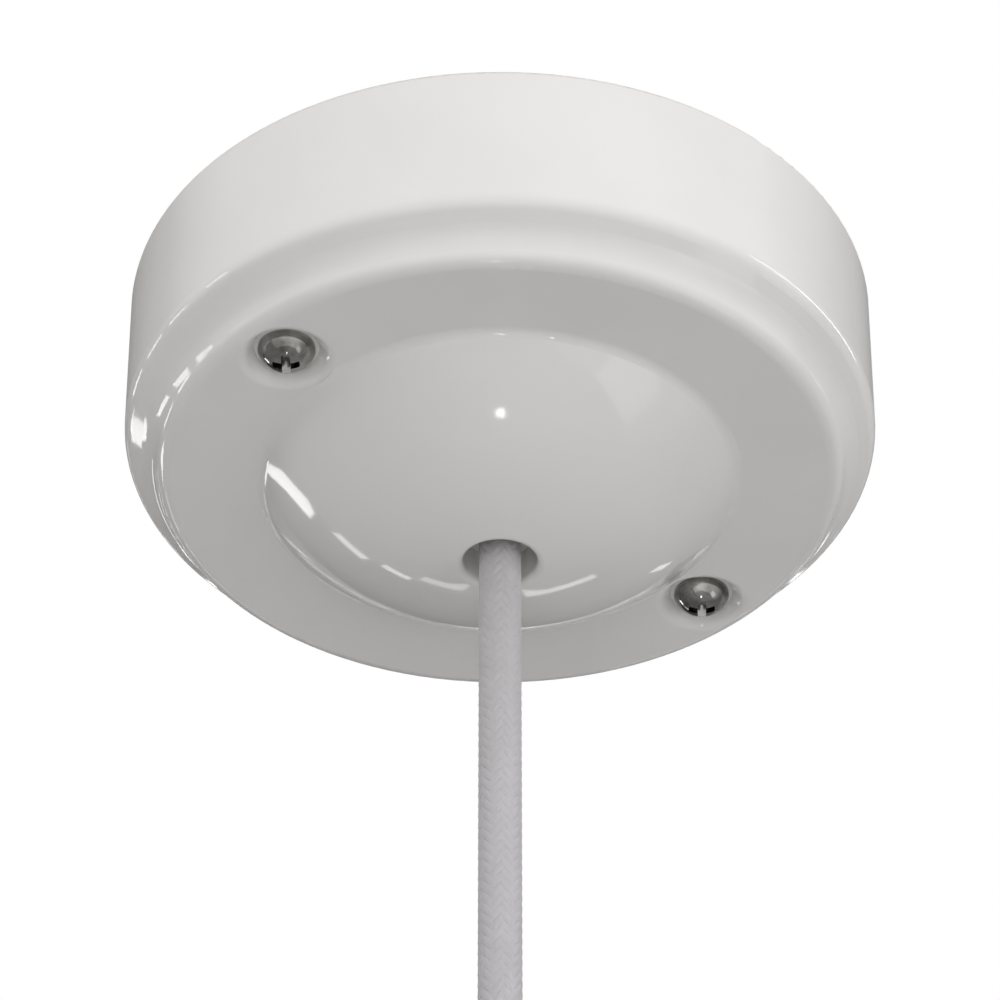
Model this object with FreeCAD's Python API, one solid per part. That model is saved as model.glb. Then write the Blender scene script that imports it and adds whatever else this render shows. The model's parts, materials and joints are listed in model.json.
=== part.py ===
import FreeCAD, Part

import math
import os

from FreeCAD import Vector

# A porcelain ceiling rose with its bracket, terminals and pendant cord.
# Sizes are in millimetres and angles in degrees. The ceiling is the plane z = 0 and the rose hangs below it.
# The cord is on the Z axis, and the bracket with its two cover screws lies along X.

# Cover, outside
COVER_DIAMETER = 107.0
WALL_HEIGHT = 22.2
RING_DEPTH = 30.1
EDGE_RADIUS = 2.7
SHOULDER_WIDTH = 1.9
SHOULDER_TILT = 38.0
COVE_RADIUS = 7.0
STEP_TILT = 69.0
LIP_RADIUS = 2.4
DOME_DIAMETER = 67.3
DOME_HEIGHT = 14.9
DOME_FOOT_RADIUS = 2.0

# Cover, inside
COVER_WALL = 5.0
RIM_WIDTH = 4.5
RIM_ROUND = 0.5
CORNER_RADIUS = 8.0
BROW_RADIUS = 2.0
CORD_HOLE_DIAMETER = 10.4
CORD_HOLE_ROUND = 1.0
GRIP_SEAT_DIAMETER = 19.0
BOSS_DIAMETER = 15.0
BOSS_HEIGHT = 3.0
BOSS_ROUND = 1.0

# Cover screws, set in from the wall, and the recesses that their heads sit in
COVER_SCREW_INSET = 13.0
COVER_SCREW_DIAMETER = 4.0
COVER_SCREW_LENGTH = 25.0
COVER_HEAD_DIAMETER = 8.0
COVER_HEAD_EDGE = 0.6
COVER_HEAD_HEIGHT = 3.4
RECESS_DIAMETER = 9.0
RECESS_DEPTH = 1.9
RECESS_TILT = 50.0
RECESS_ROUND = 1.6
SCREW_HOLE_CLEARANCE = 0.4

# Bracket, pressed from steel strip, which starts to bend before each cover screw and ends past it
SHEET = 1.5
BRACKET_END = 6.0
BRACKET_WIDTH = 18.0
BRACKET_CORNER = 4.0
BEND_TO_SCREW = 9.5
BEND_ANGLE = 75.0
BEND_RADIUS = 1.5
BRACKET_DROP = 7.0
SLOT_SPACING = 44.0
SLOT_LENGTH = 16.0
SLOT_WIDTH = 5.2
SUPPLY_HOLE_DIAMETER = 12.0
EAR_CORNER = 3.0
EAR_FILLET = 2.0
EARTH_EAR_WIDTH = 14.0
EARTH_EAR_REACH = 21.5
BLOCK_EAR_WIDTH = 17.0
COLLAR_WALL = 1.2
COLLAR_HEIGHT = 1.8

# Earth terminal
EARTH_SCREW_DIAMETER = 4.0
EARTH_SCREW_EDGE = 6.0
EARTH_HEAD_DIAMETER = 7.5
EARTH_HEAD_EDGE = 1.2
EARTH_HEAD_HEIGHT = 2.4
EARTH_WASHER_DIAMETER = 9.0
EARTH_WASHER_THICKNESS = 0.8
EARTH_WASHER_CUP = 0.5

# Terminal block, screwed under the bracket's larger ear
BLOCK_Y = 22.0
BLOCK_LENGTH = 17.0
BLOCK_HEIGHT = 6.7
BLOCK_CORNER = 1.6
POLE_PITCH = 9.5
POLE_WIDTH = 8.0
TOWER_DIAMETER = 6.4
TOWER_HEIGHT = 5.3
TOWER_SPACING = 8.8
END_WALL = 1.0
ENTRY_DIAMETER = 3.4
WEB_LENGTH = 6.4
BLOCK_SCREW_DIAMETER = 3.0
BLOCK_HEAD_DIAMETER = 5.5
BLOCK_HEAD_EDGE = 0.8
BLOCK_HEAD_HEIGHT = 2.0

# Brass sleeves in the block and the screws that clamp the wires in them
SLEEVE_DIAMETER = 5.0
SLEEVE_BORE = 3.0
SLEEVE_SIDE = 1.1
SLEEVE_STOP = 1.0
CLAMP_SCREW_DIAMETER = 2.5
CLAMP_SHANK = 4.2
CLAMP_HEAD_DIAMETER = 4.0
CLAMP_HEAD_HEIGHT = 2.2

# Cord grip, which rests inside the dome and carries the cord
GRIP_DIAMETER = 15.0
GRIP_HEIGHT = 10.3
GRIP_CHAMFER = 0.8
GRIP_SCREW_DIAMETER = 5.0
GRIP_SCREW_PROUD = 0.8

# Cord, two cores in a sheath under a woven cover
CORD_DIAMETER = 6.0
CORD_RISE = 2.2
CORD_END = -129.0
SLEEVING_WALL = 0.35
SLEEVING_LENGTH = 8.0
SHEATH_DIAMETER = 5.2
SHEATH_STUB = 2.0
SHEATH_END_STUB = 4.0
CORE_DIAMETER = 2.3
CORE_SPACING = 2.5
CORE_REACH = 8.0
TAIL_LENGTH = 10.0
TAIL_SPACING = 3.6
ARC_SHARE = 0.45

# Crimped wire ends
FERRULE_DIAMETER = 1.7
FERRULE_LENGTH = 8.0
FERRULE_COLLAR_DIAMETER = 2.9
FERRULE_COLLAR_LENGTH = 6.0

# Fits
THREAD_CLEARANCE = 0.05
SLIDE_CLEARANCE = 0.1
SCREW_TIP_CLEARANCE = 0.3
DRIVE_WIDTH_SHARE = 0.15
DRIVE_DEPTH_SHARE = 0.55
DRIVE_SPAN_SHARE = 0.55
DRIVE_FLOOR_SHARE = 0.45
DRIVE_TURN = 45.0

# How far a cut runs past a face, and how near two places are to count as one
OVERCUT = 1.0
SAME_PLACE = 0.0001

ORIGIN = Vector(0, 0, 0)
RIGHT = Vector(1, 0, 0)
AWAY = Vector(0, 1, 0)
UP = Vector(0, 0, 1)
FULL_TURN = 360.0
SIDES = (-1, 1)

# Places that several pieces share
cover_radius = COVER_DIAMETER / 2
cover_screw_x = cover_radius - COVER_SCREW_INSET
bracket_length = 2 * (cover_screw_x + BRACKET_END)
bend_start = cover_screw_x - BEND_TO_SCREW
earth_screw_y = EARTH_SCREW_EDGE - EARTH_EAR_REACH
floor_z = COVER_WALL - RING_DEPTH
sphere_radius = ((DOME_DIAMETER / 2) ** 2 + DOME_HEIGHT ** 2) / (2 * DOME_HEIGHT)
sphere_z = sphere_radius - DOME_HEIGHT - RING_DEPTH
inner_sphere_radius = sphere_radius - COVER_WALL
grip_seat_z = sphere_z - math.sqrt(inner_sphere_radius ** 2 - (GRIP_SEAT_DIAMETER / 2) ** 2)
grip_top_z = grip_seat_z + GRIP_HEIGHT
cord_top_z = grip_top_z + CORD_RISE
sheath_top_z = cord_top_z + SHEATH_STUB
sheath_end_z = CORD_END - SHEATH_END_STUB
cover_seat_z = RECESS_DEPTH - RING_DEPTH
block_top_z = -SHEET
block_bottom_z = block_top_z - BLOCK_HEIGHT
sleeve_z = block_top_z - SLEEVE_SIDE - SLEEVE_DIAMETER / 2
wire_z = sleeve_z + (SLEEVE_BORE - FERRULE_DIAMETER) / 2
block_near_y = BLOCK_Y - BLOCK_LENGTH / 2
block_far_y = BLOCK_Y + BLOCK_LENGTH / 2
tower_bottom_z = block_bottom_z - TOWER_HEIGHT
sleeve_length = BLOCK_LENGTH - 2 * END_WALL
earth_thread = EARTH_SCREW_DIAMETER + 2 * THREAD_CLEARANCE
earth_collar = earth_thread + 2 * COLLAR_WALL
earth_collar_z = -SHEET - COLLAR_HEIGHT


class Outline:
    """A closed outline in the XZ plane, drawn point by point with straight runs and arcs."""

    def __init__(self, x, z):
        self.start = Vector(x, 0, z)
        self.end = self.start
        self.edges = []

    def run(self, x, z):
        point = Vector(x, 0, z)
        if point.distanceToPoint(self.end) > SAME_PLACE:
            self.edges.append(Part.makeLine(self.end, point))
            self.end = point
        return self

    def slope(self, length, tilt):
        """A straight run inward and down, where the surface faces out from straight down by tilt."""
        angle = math.radians(tilt)
        return self.run(self.end.x - length * math.cos(angle), self.end.z - length * math.sin(angle))

    def about(self, x, z, radius, first, last):
        """An arc about a centre, between two angles from +X towards +Z."""
        places = []
        for angle in (first, (first + last) / 2, last):
            turn = math.radians(angle)
            places.append(Vector(x + radius * math.cos(turn), 0, z + radius * math.sin(turn)))
        self.run(places[0].x, places[0].z)
        self.edges.append(Part.Arc(self.end, places[1], places[2]).toShape())
        self.end = places[2]
        return self

    def round_out(self, radius, first, last):
        """A rounded outer edge that goes on from here, between two tilts from straight down."""
        turn = math.radians(first)
        x = self.end.x - radius * math.sin(turn)
        z = self.end.z + radius * math.cos(turn)
        return self.about(x, z, radius, first - 90, last - 90)

    def round_in(self, radius, first, last):
        """A hollow curve that goes on from here, between two tilts from straight down."""
        turn = math.radians(first)
        x = self.end.x + radius * math.sin(turn)
        z = self.end.z - radius * math.cos(turn)
        return self.about(x, z, radius, first + 90, last + 90)

    def face(self):
        self.run(self.start.x, self.start.z)
        return Part.Face(Part.Wire(self.edges))

    def turned(self):
        return self.face().revolve(ORIGIN, UP, FULL_TURN)

    def drawn_along_y(self, first, last):
        return self.face().extrude(AWAY * (last - first)).translate(AWAY * first)


def tube(outer, inner, low, high):
    """A round tube on the Z axis, given by its diameters and its ends."""
    return rod(outer, low, high).cut(rod(inner, low - OVERCUT, high + OVERCUT))


def rod(diameter, low, high):
    return Part.makeCylinder(diameter / 2, high - low, Vector(0, 0, low))


def rod_along_y(diameter, x, z, first, last):
    return Part.makeCylinder(diameter / 2, last - first, Vector(x, first, z), AWAY)


def box(x_size, y_size, low, high):
    """A block centred on the Z axis."""
    return Part.makeBox(x_size, y_size, high - low, Vector(-x_size / 2, -y_size / 2, low))


def moved(shape, x=0.0, y=0.0, z=0.0):
    return shape.translated(Vector(x, y, z))


def rounded_plate(x_size, y_size, corner, low, high):
    """A plate centred on the Z axis with rounded corners."""
    outline = Outline(x_size / 2, corner - y_size / 2)
    half_x = x_size / 2 - corner
    half_y = y_size / 2 - corner
    corners = ((half_x, half_y, 0), (-half_x, half_y, 90), (-half_x, -half_y, 180), (half_x, -half_y, 270))
    for x, y, angle in corners:
        outline.about(x, y, corner, angle, angle + 90)
    plate = outline.face()
    plate.rotate(ORIGIN, RIGHT, 90)
    solid = plate.extrude(UP * (high - low))
    return moved(solid, z=low)


def sphere_foot_tilt(radius, fillet):
    """The tilt at which a dome of this sphere radius meets the fillet round its foot."""
    return math.degrees(math.acos((radius - DOME_HEIGHT + fillet) / (radius + fillet)))


def sphere_foot_radius(radius, fillet):
    """How far from the axis the fillet round a dome's foot is centred."""
    return math.sqrt((radius + fillet) ** 2 - (radius - DOME_HEIGHT + fillet) ** 2)


def cover_body():
    """The turned porcelain shell: wall, moulded step, flat ring and dome, and the hollow behind them."""
    shoulder = math.radians(SHOULDER_TILT)
    step = math.radians(STEP_TILT)
    drop = RING_DEPTH - WALL_HEIGHT - SHOULDER_WIDTH * math.sin(shoulder)
    edge_drop = EDGE_RADIUS * math.cos(shoulder)
    cove_drop = COVE_RADIUS * (math.cos(shoulder) - math.cos(step))
    lip_drop = LIP_RADIUS * (1 - math.cos(step))
    curves_drop = edge_drop + cove_drop + lip_drop
    # The three curves shrink together where the step is too low for their full radii
    ease = min(1.0, drop / curves_drop)
    riser = (drop - ease * curves_drop) / math.sin(step)
    hole_radius = CORD_HOLE_DIAMETER / 2
    rim_angle = math.asin((hole_radius + CORD_HOLE_ROUND) / (sphere_radius - CORD_HOLE_ROUND))
    rim_tilt = math.degrees(rim_angle)
    foot_tilt = sphere_foot_tilt(sphere_radius, DOME_FOOT_RADIUS)
    brow_tilt = sphere_foot_tilt(inner_sphere_radius, BROW_RADIUS)
    brow_x = sphere_foot_radius(inner_sphere_radius, BROW_RADIUS)
    seat_tilt = math.degrees(math.asin(GRIP_SEAT_DIAMETER / 2 / inner_sphere_radius))
    inner_radius = cover_radius - COVER_WALL
    rim_inner = cover_radius - RIM_WIDTH

    shell = Outline(cover_radius, -RIM_ROUND)
    shell.run(cover_radius, -WALL_HEIGHT)
    shell.round_out(ease * EDGE_RADIUS, 90, SHOULDER_TILT)
    shell.slope(SHOULDER_WIDTH, SHOULDER_TILT)
    shell.round_in(ease * COVE_RADIUS, SHOULDER_TILT, STEP_TILT)
    shell.slope(riser, STEP_TILT)
    shell.round_out(ease * LIP_RADIUS, STEP_TILT, 0)
    shell.run(sphere_foot_radius(sphere_radius, DOME_FOOT_RADIUS), -RING_DEPTH)
    shell.round_in(DOME_FOOT_RADIUS, 0, foot_tilt)
    shell.round_out(sphere_radius, foot_tilt, rim_tilt)
    shell.round_out(CORD_HOLE_ROUND, rim_tilt, -90)
    shell.run(hole_radius, grip_seat_z)
    shell.run(GRIP_SEAT_DIAMETER / 2, grip_seat_z)
    shell.about(0, sphere_z, inner_sphere_radius, seat_tilt - 90, brow_tilt - 90)
    shell.about(brow_x, floor_z - BROW_RADIUS, BROW_RADIUS, brow_tilt + 90, 90)
    shell.about(inner_radius - CORNER_RADIUS, floor_z + CORNER_RADIUS, CORNER_RADIUS, -90, 0)
    shell.about(rim_inner + RIM_ROUND, -RIM_ROUND, RIM_ROUND, 180, 90)
    shell.about(cover_radius - RIM_ROUND, -RIM_ROUND, RIM_ROUND, 90, 0)
    return shell.turned()


def cover_boss():
    """The thick pad behind a cover screw."""
    top = floor_z + BOSS_HEIGHT
    radius = BOSS_DIAMETER / 2
    boss = Outline(0, floor_z - OVERCUT)
    boss.run(radius, floor_z - OVERCUT)
    boss.about(radius - BOSS_ROUND, top - BOSS_ROUND, BOSS_ROUND, 0, 90)
    boss.run(0, top)
    return boss.turned()


def cover_recess():
    """What is cut away for a cover screw: a dish with a soft lip, and the hole through its floor."""
    tilt = math.radians(RECESS_TILT)
    floor_radius = RECESS_DIAMETER / 2
    rise = RECESS_DEPTH - RECESS_ROUND * (1 - math.cos(tilt))
    lip_radius = floor_radius + rise / math.tan(tilt) + RECESS_ROUND * math.sin(tilt)
    recess = Outline(0, -RING_DEPTH - OVERCUT)
    recess.run(lip_radius, -RING_DEPTH - OVERCUT)
    recess.about(lip_radius, RECESS_ROUND - RING_DEPTH, RECESS_ROUND, 270, 270 - RECESS_TILT)
    recess.run(floor_radius, cover_seat_z)
    recess.run(0, cover_seat_z)
    hole = rod(COVER_SCREW_DIAMETER + 2 * SCREW_HOLE_CLEARANCE, -RING_DEPTH, 0)
    return recess.turned().fuse(hole)


def porcelain_cover():
    cover = cover_body()
    for side in SIDES:
        cover = cover.fuse(moved(cover_boss(), x=side * cover_screw_x))
    for side in SIDES:
        cover = cover.cut(moved(cover_recess(), x=side * cover_screw_x))
    return cover.removeSplitter()


def drive_cross(diameter, height, low):
    """A cross-shaped driver recess that opens downward at the given height and narrows to its floor."""
    span = diameter * DRIVE_SPAN_SHARE
    width = diameter * DRIVE_WIDTH_SHARE
    depth = height * DRIVE_DEPTH_SHARE
    cross = box(span, width, low, low + depth).fuse(box(width, span, low, low + depth))
    taper = Part.makeCone(span / 2, span / 2 * DRIVE_FLOOR_SHARE, depth, Vector(0, 0, low))
    recess = cross.common(taper)
    recess.rotate(ORIGIN, UP, DRIVE_TURN)
    return recess


def domed_screw(shank, length, head, edge, height):
    """A machine screw that points up, with the seat of its domed head at z = 0."""
    rise = height - edge
    dome = ((head / 2) ** 2 + rise ** 2) / (2 * rise)
    tilt = math.degrees(math.asin(head / 2 / dome))
    body = Outline(0, length)
    body.run(shank / 2, length)
    body.run(shank / 2, 0)
    body.run(head / 2, 0)
    body.run(head / 2, -edge)
    body.about(0, dome - height, dome, tilt - 90, -90)
    return body.turned().cut(drive_cross(head, height, -height))


def cover_screws():
    screw = domed_screw(COVER_SCREW_DIAMETER, COVER_SCREW_LENGTH, COVER_HEAD_DIAMETER, COVER_HEAD_EDGE,
                        COVER_HEAD_HEIGHT)
    pair = [moved(screw, x=side * cover_screw_x, z=cover_seat_z) for side in SIDES]
    return Part.makeCompound(pair)


def bracket_half_edge(offset):
    """One side of the strip seen edge on, from the middle out: flat, bent down, and flat again."""
    bend = math.radians(BEND_ANGLE)
    middle_radius = BEND_RADIUS + SHEET / 2
    fall = BRACKET_DROP - 2 * middle_radius * (1 - math.cos(bend))
    straight = fall / math.sin(bend)
    first = Vector(bend_start, 0, -SHEET / 2 - middle_radius)
    across = Vector(math.sin(bend), 0, math.cos(bend)) * (2 * middle_radius)
    along = Vector(math.cos(bend), 0, -math.sin(bend)) * straight
    second = first + across + along
    return first, middle_radius + offset, second, middle_radius - offset


def bracket_strip(width):
    """The bent strip, wider than it will be, before its outline is cut."""
    end = bracket_length / 2 + OVERCUT
    first, top_out, second, top_in = bracket_half_edge(SHEET / 2)
    first, low_out, second, low_in = bracket_half_edge(-SHEET / 2)
    half = Outline(0, 0)
    half.about(first.x, first.z, top_out, 90, 90 - BEND_ANGLE)
    half.about(second.x, second.z, top_in, 270 - BEND_ANGLE, 270)
    half.run(end, second.z - top_in)
    half.run(end, second.z - low_in)
    half.about(second.x, second.z, low_in, 270, 270 - BEND_ANGLE)
    half.about(first.x, first.z, low_out, 90 - BEND_ANGLE, 90)
    half.run(0, -SHEET)
    right = half.drawn_along_y(-width / 2, width / 2)
    left = right.mirror(ORIGIN, RIGHT)
    return right.fuse(left)


def bracket_outline(low, high):
    """The bracket's outline from above: the strip with an ear on each side."""
    plan = rounded_plate(bracket_length, BRACKET_WIDTH, BRACKET_CORNER, low, high)
    ears = ((1, BLOCK_EAR_WIDTH, block_far_y), (-1, EARTH_EAR_WIDTH, EARTH_EAR_REACH))
    corners = []
    for way, width, reach in ears:
        ear = rounded_plate(width, reach, EAR_CORNER, low, high)
        plan = plan.fuse(moved(ear, y=way * reach / 2))
        for side in SIDES:
            corners.append(Vector(side * width / 2, way * BRACKET_WIDTH / 2, (low + high) / 2))
    plan = plan.removeSplitter()
    inner_edges = []
    for edge in plan.Edges:
        if any(edge.CenterOfMass.distanceToPoint(corner) < SAME_PLACE for corner in corners):
            inner_edges.append(edge)
    return plan.makeFillet(EAR_FILLET, inner_edges)


def mounting_bracket():
    low = -BRACKET_DROP - SHEET - OVERCUT
    reach = max(block_far_y, EARTH_EAR_REACH)
    bracket = bracket_strip(2 * reach + 2 * OVERCUT).common(bracket_outline(low, OVERCUT))
    cover_thread = COVER_SCREW_DIAMETER + 2 * THREAD_CLEARANCE
    block_thread = BLOCK_SCREW_DIAMETER + 2 * THREAD_CLEARANCE
    bracket = bracket.fuse(moved(rod(earth_collar, earth_collar_z, -SHEET), y=earth_screw_y))
    for side in SIDES:
        collar = rod(cover_thread + 2 * COLLAR_WALL, -BRACKET_DROP, COLLAR_HEIGHT - BRACKET_DROP)
        bracket = bracket.fuse(moved(collar, x=side * cover_screw_x))
    cuts = [
        rod(SUPPLY_HOLE_DIAMETER, low, OVERCUT),
        moved(rod(earth_thread, low, OVERCUT), y=earth_screw_y),
        moved(rod(block_thread, low, OVERCUT), y=BLOCK_Y),
    ]
    for side in SIDES:
        slot = rounded_plate(SLOT_LENGTH, SLOT_WIDTH, SLOT_WIDTH / 2, low, OVERCUT)
        cuts.append(moved(slot, x=side * SLOT_SPACING / 2))
        cuts.append(moved(rod(cover_thread, low, OVERCUT), x=side * cover_screw_x))
    for tool in cuts:
        bracket = bracket.cut(tool)
    return bracket.removeSplitter()


def earth_washer():
    """A cupped washer that keeps the earth wire under the screw head."""
    top = earth_collar_z
    hole = (EARTH_SCREW_DIAMETER + 2 * SLIDE_CLEARANCE) / 2
    outer = EARTH_WASHER_DIAMETER / 2
    land = earth_collar / 2 + SLIDE_CLEARANCE
    ring = Outline(hole, top)
    ring.run(land, top)
    ring.run(outer, top + EARTH_WASHER_CUP)
    ring.run(outer, top + EARTH_WASHER_CUP - EARTH_WASHER_THICKNESS)
    ring.run(land, top - EARTH_WASHER_THICKNESS)
    ring.run(hole, top - EARTH_WASHER_THICKNESS)
    return moved(ring.turned(), y=earth_screw_y)


def earth_screw():
    seat = earth_collar_z - EARTH_WASHER_THICKNESS
    screw = domed_screw(EARTH_SCREW_DIAMETER, -seat - SCREW_TIP_CLEARANCE, EARTH_HEAD_DIAMETER,
                        EARTH_HEAD_EDGE, EARTH_HEAD_HEIGHT)
    return moved(screw, y=earth_screw_y, z=seat)


def block_pole():
    """One pole of the terminal block, solid, with the two towers that its clamp screws sit in."""
    half = POLE_WIDTH / 2
    section = Outline(-half, block_top_z)
    section.run(half, block_top_z)
    section.about(half - BLOCK_CORNER, block_bottom_z + BLOCK_CORNER, BLOCK_CORNER, 0, -90)
    section.about(BLOCK_CORNER - half, block_bottom_z + BLOCK_CORNER, BLOCK_CORNER, 270, 180)
    pole = section.drawn_along_y(-BLOCK_LENGTH / 2, BLOCK_LENGTH / 2)
    for side in SIDES:
        tower = rod(TOWER_DIAMETER, tower_bottom_z, sleeve_z)
        pole = pole.fuse(moved(tower, y=side * TOWER_SPACING / 2))
    return pole


def block_pole_hollow():
    """What is hollow in a pole: the sleeve's seat, the wire entries and the screw towers."""
    seat = (sleeve_length + 2 * SLIDE_CLEARANCE) / 2
    past = BLOCK_LENGTH / 2 + OVERCUT
    hollow = rod_along_y(SLEEVE_DIAMETER + 2 * SLIDE_CLEARANCE, 0, sleeve_z, -seat, seat)
    hollow = hollow.fuse(rod_along_y(ENTRY_DIAMETER, 0, sleeve_z, -past, past))
    for side in SIDES:
        shaft = rod(CLAMP_HEAD_DIAMETER + 2 * SLIDE_CLEARANCE, tower_bottom_z - OVERCUT, sleeve_z)
        hollow = hollow.fuse(moved(shaft, y=side * TOWER_SPACING / 2))
    return hollow


def terminal_block():
    block = box(POLE_PITCH, WEB_LENGTH, block_bottom_z, block_top_z)
    for side in SIDES:
        block = block.fuse(moved(block_pole(), x=side * POLE_PITCH / 2))
    for side in SIDES:
        block = block.cut(moved(block_pole_hollow(), x=side * POLE_PITCH / 2))
    screw_hole = rod(BLOCK_SCREW_DIAMETER + 2 * SLIDE_CLEARANCE, block_bottom_z - OVERCUT, OVERCUT)
    return moved(block.cut(screw_hole).removeSplitter(), y=BLOCK_Y)


def block_screw():
    screw = domed_screw(BLOCK_SCREW_DIAMETER, -block_bottom_z - SCREW_TIP_CLEARANCE, BLOCK_HEAD_DIAMETER,
                        BLOCK_HEAD_EDGE, BLOCK_HEAD_HEIGHT)
    return moved(screw, y=BLOCK_Y, z=block_bottom_z)


def sleeve(side):
    """A brass sleeve, drilled from both ends up to a stop, with two threaded holes in its underside."""
    half = sleeve_length / 2
    stop = SLEEVE_STOP / 2
    body = rod_along_y(SLEEVE_DIAMETER, 0, sleeve_z, -half, half)
    body = body.cut(rod_along_y(SLEEVE_BORE, 0, sleeve_z, -half - OVERCUT, -stop))
    body = body.cut(rod_along_y(SLEEVE_BORE, 0, sleeve_z, stop, half + OVERCUT))
    for end in SIDES:
        thread = rod(CLAMP_SCREW_DIAMETER + 2 * THREAD_CLEARANCE, sleeve_z - SLEEVE_DIAMETER, sleeve_z)
        body = body.cut(moved(thread, y=end * TOWER_SPACING / 2))
    return moved(body, x=side * POLE_PITCH / 2, y=BLOCK_Y)


def clamp_screw():
    """A slotted screw that points up, with its tip at z = 0."""
    head_z = -CLAMP_SHANK
    low = head_z - CLAMP_HEAD_HEIGHT
    slot_depth = CLAMP_HEAD_HEIGHT * DRIVE_DEPTH_SHARE
    slot = box(CLAMP_HEAD_DIAMETER + OVERCUT, CLAMP_HEAD_DIAMETER * DRIVE_WIDTH_SHARE, low - OVERCUT,
               low + slot_depth)
    screw = rod(CLAMP_SCREW_DIAMETER, head_z, 0).fuse(rod(CLAMP_HEAD_DIAMETER, low, head_z))
    return screw.cut(slot).removeSplitter()


def terminal_screws():
    """The cord's two screws are down on its wire ends, and the supply's two leave the sleeves open."""
    tips = {-1: wire_z - FERRULE_DIAMETER / 2, 1: sleeve_z - SLEEVE_BORE / 2}
    screws = []
    for end, tip in tips.items():
        y = BLOCK_Y + end * TOWER_SPACING / 2
        for side in SIDES:
            screws.append(moved(clamp_screw(), side * POLE_PITCH / 2, y, tip))
    return Part.makeCompound(screws)


def cord_grip():
    """A moulded sleeve round the cord, with a thread through one side."""
    outer = GRIP_DIAMETER / 2
    inner = CORD_DIAMETER / 2 + SLIDE_CLEARANCE
    body = Outline(inner, grip_seat_z)
    body.run(outer - GRIP_CHAMFER, grip_seat_z)
    body.run(outer, grip_seat_z + GRIP_CHAMFER)
    body.run(outer, grip_top_z - GRIP_CHAMFER)
    body.run(outer - GRIP_CHAMFER, grip_top_z)
    body.run(inner, grip_top_z)
    thread_radius = GRIP_SCREW_DIAMETER / 2 + THREAD_CLEARANCE
    thread = Part.makeCylinder(thread_radius, outer + OVERCUT, grip_middle(), -RIGHT)
    return body.turned().cut(thread)


def grip_middle():
    return Vector(0, 0, (grip_seat_z + grip_top_z) / 2)


def grip_screw():
    """A headless slotted screw that presses on the cord from -X."""
    tip = CORD_DIAMETER / 2
    end = GRIP_DIAMETER / 2 + GRIP_SCREW_PROUD
    slot_width = GRIP_SCREW_DIAMETER * DRIVE_WIDTH_SHARE
    slot_depth = GRIP_SCREW_DIAMETER * DRIVE_WIDTH_SHARE * 2
    screw = Part.makeCylinder(GRIP_SCREW_DIAMETER / 2, end - tip, grip_middle() - RIGHT * tip, -RIGHT)
    corner = Vector(-end, -slot_width / 2, grip_middle().z - GRIP_SCREW_DIAMETER)
    slot = Part.makeBox(slot_depth, slot_width, 2 * GRIP_SCREW_DIAMETER, corner)
    return screw.cut(slot)


def routed(points, diameter):
    """A round wire along straight runs, with an arc at each corner as large as its runs allow."""
    edges = []
    at = points[0]
    for before, corner, after in zip(points, points[1:], points[2:]):
        back = before - corner
        ahead = after - corner
        trim = ARC_SHARE * min(back.Length, ahead.Length)
        half_turn = (math.pi - back.getAngle(ahead)) / 2
        radius = trim / math.tan(half_turn)
        back.normalize()
        ahead.normalize()
        inward = back + ahead
        inward.normalize()
        top = corner + inward * (radius / math.cos(half_turn) - radius)
        edges.append(Part.makeLine(at, corner + back * trim))
        edges.append(Part.Arc(corner + back * trim, top, corner + ahead * trim).toShape())
        at = corner + ahead * trim
        print("arc radius", round(radius, 2))
    edges.append(Part.makeLine(at, points[-1]))
    path = Part.Wire(edges)
    ring = Part.makeCircle(diameter / 2, points[0], points[1] - points[0])
    wire = path.makePipeShell([Part.Wire(ring)], True, False)
    expected = math.pi * diameter ** 2 / 4 * path.Length
    print("volume over section times length", round(wire.Volume / expected, 4))
    return wire


def core(side):
    """An insulated core inside the rose, from the cord's sheath to its terminal."""
    start_x = side * CORE_SPACING / 2
    end_x = side * POLE_PITCH / 2
    end_y = block_near_y - FERRULE_COLLAR_LENGTH
    return routed([
        Vector(start_x, 0, sheath_top_z),
        Vector(start_x, 0, (sheath_top_z + wire_z) / 2),
        Vector(end_x, end_y - CORE_REACH, wire_z),
        Vector(end_x, end_y, wire_z),
    ], CORE_DIAMETER)


def tail(side):
    """An insulated core at the cord's free end."""
    start_x = side * CORE_SPACING / 2
    end_x = side * TAIL_SPACING / 2
    third = TAIL_LENGTH / 3
    return routed([
        Vector(start_x, 0, sheath_end_z),
        Vector(start_x, 0, sheath_end_z - third),
        Vector(end_x, 0, sheath_end_z - 2 * third),
        Vector(end_x, 0, sheath_end_z - TAIL_LENGTH),
    ], CORE_DIAMETER)


def at_terminals(shape):
    """Puts a piece that points up at both terminals, pointing into the block."""
    laid = shape.rotated(ORIGIN, RIGHT, -90)
    return Part.makeCompound([moved(laid, side * POLE_PITCH / 2, block_near_y, wire_z) for side in SIDES])


def at_tails(shape):
    """Puts a piece that points up on both free ends, pointing down."""
    turned = shape.rotated(ORIGIN, RIGHT, 180)
    low = sheath_end_z - TAIL_LENGTH - FERRULE_COLLAR_LENGTH
    return Part.makeCompound([moved(turned, x=side * TAIL_SPACING / 2, z=low) for side in SIDES])


def ferrule_pin():
    return rod(FERRULE_DIAMETER, 0, FERRULE_LENGTH)


def ferrule_collar():
    return rod(FERRULE_COLLAR_DIAMETER, -FERRULE_COLLAR_LENGTH, 0)


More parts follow.
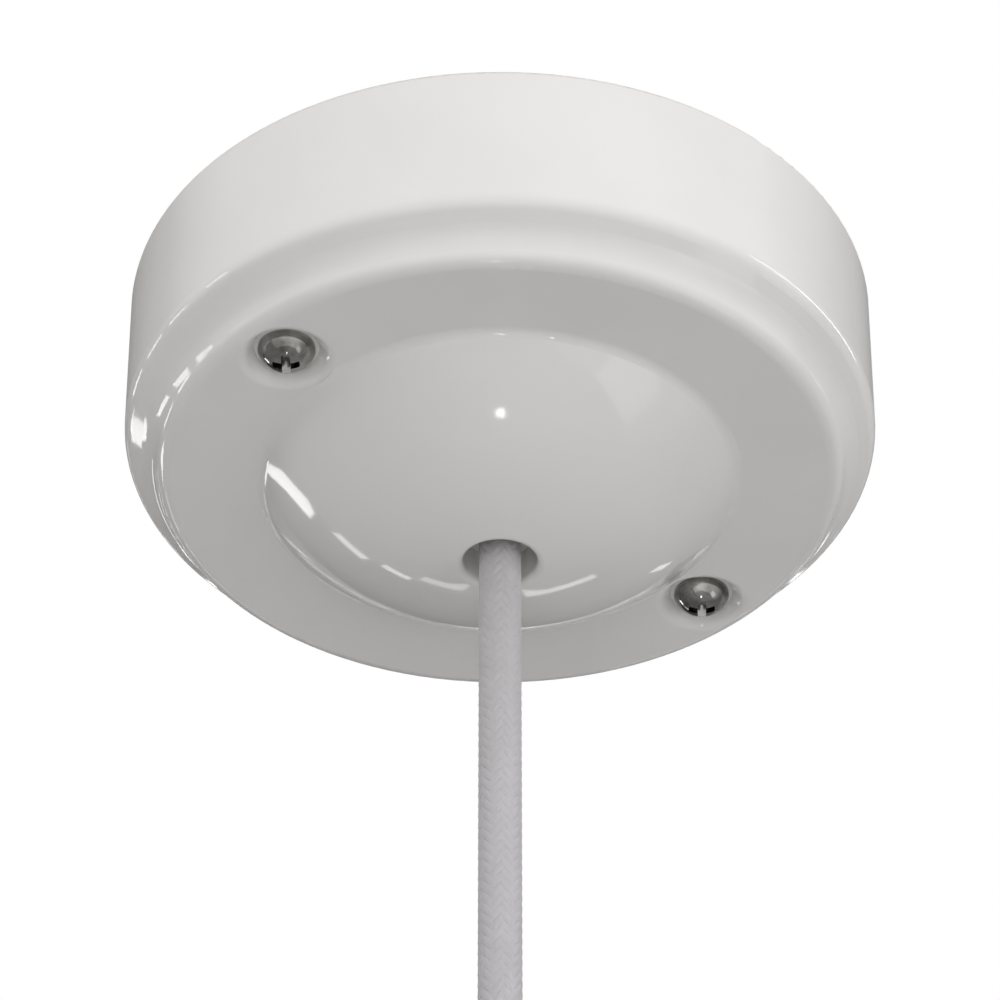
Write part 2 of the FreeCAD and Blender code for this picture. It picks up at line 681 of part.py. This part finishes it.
def all_nodes():
    sleeving = CORD_DIAMETER + 2 * SLEEVING_WALL
    return {
        "porcelain_cover": porcelain_cover(),
        "cover_screws": cover_screws(),
        "mounting_bracket": mounting_bracket(),
        "earth_washer": earth_washer(),
        "earth_screw": earth_screw(),
        "terminal_block": terminal_block(),
        "block_screw": block_screw(),
        "live_sleeve": sleeve(-1),
        "neutral_sleeve": sleeve(1),
        "terminal_screws": terminal_screws(),
        "cord_grip": cord_grip(),
        "grip_screw": grip_screw(),
        "cord": rod(CORD_DIAMETER, CORD_END, cord_top_z),
        "cord_top_sleeving": tube(sleeving, CORD_DIAMETER, grip_top_z, cord_top_z),
        "cord_end_sleeving": tube(sleeving, CORD_DIAMETER, CORD_END, CORD_END + SLEEVING_LENGTH),
        "sheath_top": rod(SHEATH_DIAMETER, cord_top_z, sheath_top_z),
        "sheath_end": rod(SHEATH_DIAMETER, sheath_end_z, CORD_END),
        "live_core": core(-1),
        "neutral_core": core(1),
        "ferrule_pins": at_terminals(ferrule_pin()),
        "ferrule_collars": at_terminals(ferrule_collar()),
        "live_tail": tail(-1),
        "neutral_tail": tail(1),
        "tail_ferrule_pins": at_tails(ferrule_pin()),
        "tail_ferrule_collars": at_tails(ferrule_collar()),
    }


os.makedirs("parts", exist_ok=True)
for node, shape in all_nodes().items():
    shape.exportStep("parts/" + node + ".step")
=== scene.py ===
import json
import math

import bpy
from mathutils import Matrix, Vector


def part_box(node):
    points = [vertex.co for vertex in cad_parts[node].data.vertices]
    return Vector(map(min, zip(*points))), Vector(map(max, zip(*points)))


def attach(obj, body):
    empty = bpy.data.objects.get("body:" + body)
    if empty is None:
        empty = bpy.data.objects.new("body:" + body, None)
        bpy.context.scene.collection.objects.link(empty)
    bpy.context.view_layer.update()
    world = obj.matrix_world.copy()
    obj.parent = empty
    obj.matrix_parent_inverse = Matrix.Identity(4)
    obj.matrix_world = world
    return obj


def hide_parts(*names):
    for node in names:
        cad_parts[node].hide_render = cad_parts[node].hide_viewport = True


# A porcelain ceiling rose on its pendant cord, seen from below as it hangs.
# Lengths are in metres and angles in degrees. The cord is on the Z axis and the ceiling is z = 0.
MM = 0.001

# Camera, which looks up at the rose
CAMERA_TURN = -43.38
CAMERA_RISE = -38.40
CAMERA_DISTANCE = 0.750
CAMERA_AIM_Z = -32.93 * MM
SENSOR_WIDTH = 36.0
LENS = 190.8

# Floor and room light. The room light changes by the height of its direction, from -1 below to 1 above.
FLOOR_Z = -1.4
FLOOR_SIZE = 12.0
WHITE = 1.0
LIGHT_BELOW = 0.4
LIGHT_LEVEL = 0.6
LIGHT_TOP = 0.24
LEVEL_FROM = -0.1
LEVEL_TO = 0.1
TOP_FROM = 0.4
TOP_TO = 0.6

# Lamps, and cards that show only in the gloss
BOX_DISTANCE = 1.6
BOX_SIZE = 1.0
PANE_DISTANCE = 1.5
LEFT_PANE_TURNS = (-82, -98, -110, -122)
LEFT_PANE_RISE = 8
SMALL_LAMP_DISTANCE = 1.2
SMALL_LAMP_SIZE = 0.06
COOL = (0.99, 0.98, 1.05)
WARM = (1.0, 1.0, 0.97)
CARD_STEPS = 8
CARD_DISTANCE = 1.9
WINDOW_DISTANCE = 1.7
WINDOW_GLOW = 6.0

# Woven cover of the cord
CORD_RADIUS = 3.0 * MM
YARNS_EACH_WAY = 12
YARN_LEAD = 20.4 * MM
YARN_WIDTH = 1.16 * MM
YARN_STEPS = 3
YARN_RISE = 0.055 * MM
YARN_CROWN = 0.08 * MM
PLY_DEPTH = 0.025 * MM
PLIES = 3
ACROSS_YARN = 8
LINING_SIDES = 48
ROUTE_POINTS = 5
ROUTE_STEPS = 24

# Screw heads, out from the middle, and the unglazed rim
HEAD_X = 40.5 * MM
BARE_RIM = 0.7 * MM

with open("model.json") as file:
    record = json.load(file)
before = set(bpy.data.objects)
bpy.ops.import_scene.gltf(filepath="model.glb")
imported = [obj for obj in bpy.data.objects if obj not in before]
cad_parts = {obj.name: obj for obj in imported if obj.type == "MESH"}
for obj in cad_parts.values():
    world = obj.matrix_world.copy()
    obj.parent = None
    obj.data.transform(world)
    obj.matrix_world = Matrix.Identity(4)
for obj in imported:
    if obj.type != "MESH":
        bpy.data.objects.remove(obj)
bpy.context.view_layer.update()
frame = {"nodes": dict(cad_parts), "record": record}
nodes = frame["nodes"]
scene = bpy.context.scene
scene.view_settings.view_transform = "Standard"


def view_axes():
    """The camera's right, up and back directions."""
    turn = math.radians(CAMERA_TURN)
    rise = math.radians(CAMERA_RISE)
    back = Vector((math.sin(turn) * math.cos(rise), -math.cos(turn) * math.cos(rise), math.sin(rise)))
    right = Vector((math.cos(turn), math.sin(turn), 0))
    return right, back.cross(right), back


def add_camera():
    right, up, back = view_axes()
    data = bpy.data.cameras.new("camera")
    data.sensor_width = SENSOR_WIDTH
    data.lens = LENS
    data.clip_start = 0.01
    data.clip_end = 100
    camera = bpy.data.objects.new("camera", data)
    place = Vector((0, 0, CAMERA_AIM_Z)) + back * CAMERA_DISTANCE
    camera.matrix_world = Matrix.Translation(place) @ Matrix((right, up, back)).transposed().to_4x4()
    scene.collection.objects.link(camera)
    scene.camera = camera


def link_mesh(name, verts, faces):
    mesh = bpy.data.meshes.new(name)
    mesh.from_pydata(verts, [], faces)
    mesh.polygons.foreach_set("use_smooth", [True] * len(faces))
    piece = bpy.data.objects.new(name, mesh)
    scene.collection.objects.link(piece)
    return piece


def add_spots(piece, spots):
    """Gives each vertex its place on the pattern."""
    layer = piece.data.uv_layers.new(name="spots")
    for loop in piece.data.loops:
        layer.data[loop.index].uv = spots[loop.vertex_index]


class Finish:
    """A node material on the principled shader, with short ways to the textures that it is made of."""

    def __init__(self, name, **sockets):
        self.material = bpy.data.materials.new(name)
        self.material.use_nodes = True
        self.tree = self.material.node_tree
        self.shader = self.tree.nodes["Principled BSDF"]
        for socket, value in sockets.items():
            self.shader.inputs[socket.replace("_", " ")].default_value = value

    def add(self, kind, **settings):
        node = self.tree.nodes.new(kind)
        for name, value in settings.items():
            setattr(node, name, value)
        return node

    def join(self, output, node, socket):
        self.tree.links.new(output, node.inputs[socket])

    def place(self, stretch=(1, 1, 1), space="Object"):
        """Coordinates in metres, or the spots on a piece, with the pattern stretched by the given factors."""
        source = self.add("ShaderNodeTexCoord")
        mapping = self.add("ShaderNodeMapping")
        mapping.inputs["Scale"].default_value = stretch
        self.join(source.outputs[space], mapping, "Vector")
        return mapping.outputs["Vector"]

    def noise(self, scale, stretch=(1, 1, 1), detail=3.0, space="Object"):
        node = self.add("ShaderNodeTexNoise")
        node.inputs["Scale"].default_value = scale
        node.inputs["Detail"].default_value = detail
        self.join(self.place(stretch, space), node, "Vector")
        return node.outputs["Fac"]

    def ranged(self, value, low, high, first=0.3, last=0.7):
        """Turns a pattern into a number between two ends."""
        node = self.add("ShaderNodeMapRange")
        for name, number in (("From Min", first), ("From Max", last), ("To Min", low), ("To Max", high)):
            node.inputs[name].default_value = number
        self.join(value, node, "Value")
        return node.outputs["Result"]

    def tones(self, value, low, high, first=0.3, last=0.7):
        """Turns a pattern into a colour between two ends."""
        node = self.add("ShaderNodeValToRGB")
        for stop, place, colour in zip(node.color_ramp.elements, (first, last), (low, high)):
            stop.position = place
            stop.color = (*colour, 1)
        self.join(value, node, "Fac")
        return node.outputs["Color"]

    def mixed(self, value, first, second):
        """Mixes two colours by a pattern. The mix node's colours are its sockets 6, 7 and 2."""
        node = self.add("ShaderNodeMix", data_type="RGBA")
        self.join(value, node, 0)
        self.join(first, node, 6)
        self.join(second, node, 7)
        return node.outputs[2]

    def math(self, operation, first, second):
        node = self.add("ShaderNodeMath", operation=operation)
        self.join(first, node, 0)
        if isinstance(second, (int, float)):
            node.inputs[1].default_value = second
        else:
            self.join(second, node, 1)
        return node.outputs[0]

    def shade(self, output, socket):
        self.join(output, self.shader, socket)

    def bump(self, value, depth):
        """Raises the surface by a pattern, on top of any bump that is there."""
        node = self.add("ShaderNodeBump")
        node.inputs["Distance"].default_value = depth
        node.inputs["Strength"].default_value = 1.0
        self.join(value, node, "Height")
        old = self.shader.inputs["Normal"].links
        if old:
            self.join(old[0].from_socket, node, "Normal")
        self.shade(node.outputs["Normal"], "Normal")


def glaze():
    """White glaze with faint unevenness, and a bare rim where the piece stood in the kiln."""
    finish = Finish("glaze", IOR=1.5)
    split = finish.add("ShaderNodeSeparateXYZ")
    finish.join(finish.place(), split, "Vector")
    bare = finish.ranged(split.outputs["Z"], 0.0, 1.0, -BARE_RIM, -BARE_RIM / 2)
    white = finish.tones(finish.noise(45.0), (0.79, 0.773, 0.752), (0.82, 0.803, 0.782))
    clay = finish.tones(finish.noise(900.0), (0.60, 0.57, 0.52), (0.72, 0.69, 0.64))
    finish.shade(finish.mixed(bare, white, clay), "Base Color")
    gloss = finish.ranged(finish.noise(120.0), 0.045, 0.085)
    matt = finish.math("MULTIPLY", bare, 0.6)
    finish.shade(finish.math("ADD", gloss, matt), "Roughness")
    finish.bump(finish.noise(70.0, detail=1.0), 0.05 * MM)
    return finish.material


def metal(name, dark, light, rough, lay=(1, 1, 1), grain=900.0, depth=0.004 * MM):
    """Plated or turned metal with a grain that can be drawn out along one way."""
    finish = Finish(name, Metallic=1.0)
    finish.shade(finish.tones(finish.noise(140.0), dark, light), "Base Color")
    finish.shade(finish.ranged(finish.noise(grain, lay), rough * 0.75, rough * 1.3), "Roughness")
    finish.bump(finish.noise(grain, lay), depth)
    return finish.material


def nickel():
    """Bright plate on the screw heads, with faint rings from the lathe about each head's middle. Its tones
    are kept dark: a painted dark reflection of the surroundings that the heads mirror, on top of a random
    change of tone.
    """
    finish = Finish("nickel", Metallic=1.0)
    split = finish.add("ShaderNodeSeparateXYZ")
    finish.join(finish.place(), split, "Vector")
    off_side = finish.math("SUBTRACT", finish.math("ABSOLUTE", split.outputs["X"], 0.0), HEAD_X)
    middle = finish.add("ShaderNodeCombineXYZ")
    finish.join(off_side, middle, "X")
    finish.join(split.outputs["Y"], middle, "Y")
    rings = finish.add("ShaderNodeTexWave", wave_type="RINGS", rings_direction="Z")
    rings.inputs["Scale"].default_value = 900.0
    rings.inputs["Distortion"].default_value = 1.5
    finish.join(middle.outputs["Vector"], rings, "Vector")
    # The dark tones are a painted dark reflection that stands in for the dim surroundings mirrored in the
    # heads. The noise between the two tones is a random change of tone.
    finish.shade(finish.tones(finish.noise(330.0), (0.12, 0.11, 0.10), (0.44, 0.43, 0.41)), "Base Color")
    finish.shade(finish.ranged(finish.noise(700.0), 0.08, 0.18), "Roughness")
    finish.bump(rings.outputs["Fac"], 0.0015 * MM)
    finish.bump(finish.noise(1500.0), 0.003 * MM)
    return finish.material


def plastic(name, dark, light, rough, grain=1400.0, depth=0.012 * MM, lay=(1, 1, 1), soft=0.0):
    """Moulded or drawn plastic with a fine skin."""
    finish = Finish(name, Subsurface_Weight=soft, Subsurface_Scale=1.0 * MM)
    finish.shade(finish.tones(finish.noise(180.0, lay), dark, light), "Base Color")
    finish.shade(finish.ranged(finish.noise(500.0), rough * 0.8, rough * 1.2), "Roughness")
    finish.bump(finish.noise(grain, lay), depth)
    return finish.material


def weave():
    """White yarn: fine fibres that run along each yarn, and a soft sheen. Its tones are kept well under
    white: painted shade for the shadow among the fibres, with random pale and grey blotches.
    """
    finish = Finish("weave", Sheen_Weight=0.06, Sheen_Roughness=0.5, Roughness=0.85)
    fibres = finish.noise(5.0, (0.6, 9.0, 1.0), 4.0, "UV")
    blotches = finish.noise(260.0)
    # Both tones are far under white: painted shade for the shadow among the fibres. The blotches that mix
    # them are random.
    pale = finish.tones(fibres, (0.48, 0.47, 0.475), (0.58, 0.57, 0.575))
    grey = finish.tones(fibres, (0.44, 0.43, 0.435), (0.54, 0.53, 0.535))
    finish.shade(finish.mixed(finish.ranged(blotches, 0.0, 1.0), pale, grey), "Base Color")
    finish.bump(fibres, 0.03 * MM)
    return finish.material


def finishes():
    along_x = (0.04, 1, 1)
    along_z = (1, 1, 0.05)
    return {
        "glaze": glaze(),
        "nickel": nickel(),
        "zinc": metal("zinc", (0.52, 0.53, 0.55), (0.66, 0.67, 0.69), 0.30, along_x),
        "earth_brass": metal("earth_brass", (0.66, 0.49, 0.22), (0.80, 0.62, 0.31), 0.22),
        "block_plastic": plastic("block_plastic", (0.72, 0.71, 0.66), (0.80, 0.79, 0.75), 0.45, soft=0.3),
        "terminal_brass": metal("terminal_brass", (0.62, 0.46, 0.20), (0.76, 0.59, 0.29), 0.26),
        "clamp_steel": metal("clamp_steel", (0.46, 0.46, 0.45), (0.60, 0.60, 0.59), 0.28),
        "grip_plastic": plastic("grip_plastic", (0.70, 0.69, 0.65), (0.78, 0.77, 0.73), 0.5, soft=0.3),
        "weave": weave(),
        "sleeving": plastic("sleeving", (0.70, 0.70, 0.69), (0.78, 0.78, 0.77), 0.55, lay=along_z),
        "sheath": plastic("sheath", (0.74, 0.74, 0.73), (0.82, 0.82, 0.81), 0.5, lay=along_z),
        "live_insulation": plastic("live_insulation", (0.15, 0.060, 0.025), (0.21, 0.088, 0.038), 0.35),
        "neutral_insulation": plastic("neutral_insulation", (0.020, 0.105, 0.34), (0.032, 0.145, 0.43), 0.35),
        "tinned_copper": metal("tinned_copper", (0.58, 0.57, 0.55), (0.72, 0.71, 0.69), 0.32, along_z),
        "collar_plastic": plastic("collar_plastic", (0.33, 0.34, 0.35), (0.42, 0.43, 0.44), 0.4),
    }


def dress_nodes(looks):
    """Gives each CAD node the look of its material slot in the record."""
    for row in frame["record"]["subparts"]:
        piece = nodes[row["node"]]
        piece.data.materials.clear()
        piece.data.materials.append(looks[row["material_slot"]])


def cord_route(low, high):
    """The cord's line from the grip down to its free end, as points read from its spline."""
    curve = bpy.data.curves.new("route", "CURVE")
    curve.dimensions = "3D"
    curve.resolution_u = ROUTE_STEPS
    spline = curve.splines.new("NURBS")
    spline.points.add(ROUTE_POINTS - 1)
    for number, point in enumerate(spline.points):
        point.co = (0, 0, high + (low - high) * number / (ROUTE_POINTS - 1), 1)
    spline.order_u = 3
    spline.use_endpoint_u = True
    holder = bpy.data.objects.new("route", curve)
    scene.collection.objects.link(holder)
    bpy.context.view_layer.update()
    line = bpy.data.meshes.new_from_object(holder)
    path = [vertex.co.copy() for vertex in line.vertices]
    bpy.data.objects.remove(holder)
    bpy.data.meshes.remove(line)
    return path


class Line:
    """A path that gives the place at a distance along it, out from it at an angle."""

    def __init__(self, path):
        self.path = path
        self.marks = [0.0]
        for before, after in zip(path, path[1:]):
            self.marks.append(self.marks[-1] + (after - before).length)
        self.length = self.marks[-1]
        self.ahead = (path[-1] - path[0]).normalized()
        self.side = self.ahead.orthogonal().normalized()
        self.over = self.ahead.cross(self.side)

    def at(self, distance):
        distance = min(max(distance, 0.0), self.length)
        for number, mark in enumerate(self.marks[1:]):
            if distance <= mark:
                start = self.marks[number]
                share = (distance - start) / (mark - start)
                return self.path[number].lerp(self.path[number + 1], share)
        return self.path[-1]

    def out(self, distance, angle, radius):
        return self.at(distance) + (self.side * math.cos(angle) + self.over * math.sin(angle)) * radius


def yarn_height(way, number, crossing):
    """How far a yarn is over or under the yarns that cross it, two over and two under, from -1 to 1."""
    if way > 0:
        return math.cos(math.pi / 2 * (2 * number + crossing - 0.5))
    return -math.cos(math.pi / 2 * (2 * number - crossing - 0.5))


def add_yarn(line, way, number, verts, faces, spots):
    """One flat yarn of a few plies, wound round the cord over and under the yarns of the other way."""
    middle = CORD_RADIUS - YARN_RISE - YARN_CROWN - PLY_DEPTH
    crossing_step = YARN_LEAD / (2 * YARNS_EACH_WAY)
    steps = round(line.length / crossing_step) * YARN_STEPS
    slant = math.atan(2 * math.pi * CORD_RADIUS / YARN_LEAD)
    first = len(verts)
    for step in range(steps + 1):
        distance = line.length * step / steps
        turn = 2 * math.pi * (number / YARNS_EACH_WAY + way * distance / YARN_LEAD)
        height = yarn_height(way, number, distance / crossing_step) * YARN_RISE
        for place in range(ACROSS_YARN + 1):
            across = 2 * place / ACROSS_YARN - 1
            offset = across * YARN_WIDTH / 2
            ply = PLY_DEPTH * math.cos(math.pi * PLIES * across)
            radius = middle + height + YARN_CROWN * (1 - across ** 2) + ply
            angle = turn + offset * math.cos(slant) / CORD_RADIUS
            verts.append(line.out(distance - way * offset * math.sin(slant), angle, radius))
            spots.append((distance / YARN_WIDTH, number * way + across / 2))
    row = ACROSS_YARN + 1
    for step in range(steps):
        for place in range(ACROSS_YARN):
            corner = first + step * row + place
            quad = (corner, corner + 1, corner + row + 1, corner + row)
            faces.append(quad if way > 0 else quad[::-1])


def add_lining(line, verts, faces, spots):
    """The tube under the yarns, closed at both ends."""
    radius = CORD_RADIUS - 2 * YARN_RISE - YARN_CROWN - 2 * PLY_DEPTH
    first = len(verts)
    rows = len(line.path)
    for distance in line.marks:
        for side in range(LINING_SIDES):
            verts.append(line.out(distance, 2 * math.pi * side / LINING_SIDES, radius))
            spots.append((distance / YARN_WIDTH, side))
    for number in range(rows - 1):
        for side in range(LINING_SIDES):
            here = first + number * LINING_SIDES + side
            beside = first + number * LINING_SIDES + (side + 1) % LINING_SIDES
            faces.append((here, beside, beside + LINING_SIDES, here + LINING_SIDES))
    faces.append([first + side for side in range(LINING_SIDES)][::-1])
    faces.append([first + (rows - 1) * LINING_SIDES + side for side in range(LINING_SIDES)])


def woven_cord(look):
    """The cord's woven cover, yarn by yarn, in place of its plain solid."""
    low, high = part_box("cord")
    path = cord_route(low.z, high.z)
    line = Line(path)
    verts, faces, spots = [], [], []
    for way in (1, -1):
        for number in range(YARNS_EACH_WAY):
            add_yarn(line, way, number, verts, faces, spots)
    add_lining(line, verts, faces, spots)
    cord = link_mesh("woven_cord", verts, faces)
    cord.data.materials.append(look)
    add_spots(cord, spots)
    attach(cord, "root")
    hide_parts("cord")


def add_floor():
    half = FLOOR_SIZE / 2
    corners = [(-half, -half, FLOOR_Z), (half, -half, FLOOR_Z), (half, half, FLOOR_Z), (-half, half, FLOOR_Z)]
    floor = link_mesh("floor", corners, [(0, 1, 2, 3)])
    finish = Finish("floor", Roughness=0.9)
    finish.shade(finish.tones(finish.noise(2.0), (0.76, 0.76, 0.76), (0.80, 0.80, 0.80)), "Base Color")
    floor.data.materials.append(finish.material)


def world_math(tree, operation, first, second):
    node = tree.nodes.new("ShaderNodeMath")
    node.operation = operation
    tree.links.new(first, node.inputs[0])
    tree.links.new(second, node.inputs[1])
    return node.outputs[0]


def world_step(tree, value, first, last, low, high):
    """A soft step in the room light, from low to high."""
    node = tree.nodes.new("ShaderNodeMapRange")
    for name, number in (("From Min", first), ("From Max", last), ("To Min", low), ("To Max", high)):
        node.inputs[name].default_value = number
    tree.links.new(value, node.inputs["Value"])
    return node.outputs["Result"]


def room_level(tree):
    """The room light by direction: from below, from all round at the rose's level, and from the top."""
    way = tree.nodes.new("ShaderNodeTexCoord")
    split = tree.nodes.new("ShaderNodeSeparateXYZ")
    tree.links.new(way.outputs["Generated"], split.inputs["Vector"])
    rise = split.outputs["Z"]
    level = world_step(tree, rise, LEVEL_FROM, LEVEL_TO, LIGHT_BELOW, LIGHT_LEVEL)
    top = world_step(tree, rise, TOP_FROM, TOP_TO, 0, LIGHT_TOP - LIGHT_LEVEL)
    return world_math(tree, "ADD", level, top)


def add_world():
    """A white surround for what is seen directly or mirrored, and a soft room light on everything."""
    world = bpy.data.worlds.new("surround")
    world.use_nodes = True
    tree = world.node_tree
    room = tree.nodes["Background"]
    room.inputs["Color"].default_value = (1, 1, 1, 1)
    tree.links.new(room_level(tree), room.inputs["Strength"])
    seen = tree.nodes.new("ShaderNodeBackground")
    seen.inputs["Color"].default_value = (1, 1, 1, 1)
    seen.inputs["Strength"].default_value = WHITE
    path = tree.nodes.new("ShaderNodeLightPath")
    share = path.outputs["Is Camera Ray"]
    for name in ("Is Glossy Ray", "Is Transmission Ray"):
        share = world_math(tree, "MAXIMUM", share, path.outputs[name])
    mix = tree.nodes.new("ShaderNodeMixShader")
    tree.links.new(share, mix.inputs[0])
    tree.links.new(room.outputs[0], mix.inputs[1])
    tree.links.new(seen.outputs[0], mix.inputs[2])
    tree.links.new(mix.outputs[0], tree.nodes["World Output"].inputs["Surface"])
    scene.world = world


def way_out(turn, rise):
    """A direction from the rose. Turn is from the camera's side, to the right."""
    right, up, back = view_axes()
    front = Vector((back.x, back.y, 0)).normalized()
    level = front * math.cos(math.radians(turn)) + right * math.sin(math.radians(turn))
    return level * math.cos(math.radians(rise)) + Vector((0, 0, math.sin(math.radians(rise))))


def add_card(name, stations, distance=CARD_DISTANCE, glow=1.0):
    """A curved card round part of the room, which shows only in the rose's gloss.

    Each station gives a turn, the card's lower and upper edge there, and its tone.
    """
    verts, faces, spots = [], [], []
    for before, after in zip(stations, stations[1:]):
        for step in range(CARD_STEPS + 1):
            turn, low, high, tone = [a + (b - a) * step / CARD_STEPS for a, b in zip(before, after)]
            verts.extend([way_out(turn, low) * distance, way_out(turn, high) * distance])
            spots.extend([(tone, 0)] * 2)
    for corner in range(0, len(verts) - 2, 2):
        faces.append((corner, corner + 1, corner + 3, corner + 2))
    card = link_mesh(name, verts, faces)
    add_spots(card, spots)
    finish = Finish(name, Base_Color=(0, 0, 0, 1), Roughness=1.0, Emission_Strength=glow)
    split = finish.add("ShaderNodeSeparateXYZ")
    finish.join(finish.place(space="UV"), split, "Vector")
    finish.shade(finish.tones(split.outputs["X"], (0, 0, 0), (1, 1, 1), 0.0, 1.0), "Emission Color")
    card.data.materials.append(finish.material)
    card.visible_camera = False
    card.visible_diffuse = False
    card.visible_shadow = False


def add_softbox(name, turn, rise, distance, wide, high, glow, tint=(1, 1, 1), mirrored=True):
    """A soft rectangular lamp that faces the rose, and is seen in its gloss if it is mirrored."""
    away = way_out(turn, rise)
    data = bpy.data.lights.new(name, "AREA")
    data.shape = "RECTANGLE"
    data.size = wide
    data.size_y = high
    data.energy = glow * math.pi * wide * high
    data.color = tint
    lamp = bpy.data.objects.new(name, data)
    target = Vector((0, 0, CAMERA_AIM_Z))
    lamp.location = target + away * distance
    lamp.rotation_euler = away.to_track_quat("Z", "Y").to_euler()
    lamp.visible_camera = False
    lamp.visible_glossy = mirrored
    scene.collection.objects.link(lamp)


def add_box(name, turn, rise, glow, tint):
    """A large soft box that lights the rose and is not mirrored."""
    add_softbox(name, turn, rise, BOX_DISTANCE, BOX_SIZE, BOX_SIZE, glow, tint, False)


def add_pane(name, turn, rise, wide, high, glow):
    """A small window or strip that is mirrored in the gloss."""
    add_softbox(name, turn, rise, PANE_DISTANCE, wide, high, glow)


def add_lights():
    add_box("front_high_box", 0, 35, 3.0, COOL)
    add_box("front_low_box", 0, -20, 2.0, WARM)
    add_box("right_box", 60, -15, 1.15, COOL)
    add_pane("pane_middle", -149, -15, 0.22, 0.08, 3.6)
    add_pane("pane_far", -159, -18, 0.16, 0.07, 3.0)
    add_pane("pane_back_left", -168, -22, 0.22, 0.09, 2.0)
    add_pane("pane_back_right", 168, -19, 0.36, 0.08, 2.5)
    add_pane("pane_right", 158, 3, 0.05, 0.12, 2.0)
    add_pane("pane_low_right", 72, -41, 0.6, 0.4, 0.8)
    for number, turn in enumerate(LEFT_PANE_TURNS):
        add_pane("left_pane_%d" % number, turn, LEFT_PANE_RISE, 0.20, 0.18, 4.5)
    add_pane("right_strip", 95, 19, 1.2, 0.15, 5.2)
    add_pane("back_strip", -172, 20, 1.7, 0.05, 2.5)
    add_softbox("small_lamp", 0, -73, SMALL_LAMP_DISTANCE, SMALL_LAMP_SIZE, SMALL_LAMP_SIZE, 20.0)


def add_cards():
    """Dark and pale cards round the back, a bright window on the left, and a pale card low in front."""
    add_card("low_card", ((-95, -15, 24, 0.6), (-122, -15, 24, 0.2), (-140, -15, 24, 0.05),
                          (-160, -19, 24, 0.05), (-178, -18, 24, 0.08), (-195, -17, 24, 0.25),
                          (-227, -16, 24, 0.4), (-265, -15, 24, 0.5)))
    add_card("window_card", ((-129, -9, -9, 1.0), (-131, -12, -5, 1.0), (-134, -15, -2, 1.0),
                             (-136, -15, -7, 1.0), (-139, -14, -9, 1.0), (-142, -10, -10, 1.0)),
             WINDOW_DISTANCE, WINDOW_GLOW)
    add_card("high_card", ((-90, 24, 54, 1.0), (-122, 24, 54, 0.26), (-176, 24, 54, 0.26),
                           (-184, 24, 54, 0.30), (-238, 24, 54, 0.30), (-270, 24, 54, 0.7)))
    add_card("front_card", ((-60, -52, -13, 0.45), (-25, -52, -13, 1.0), (60, -52, -13, 1.0),
                            (105, -52, -13, 0.45)))


add_camera()
looks = finishes()
dress_nodes(looks)
woven_cord(looks["weave"])
add_floor()
add_world()
add_lights()
add_cards()
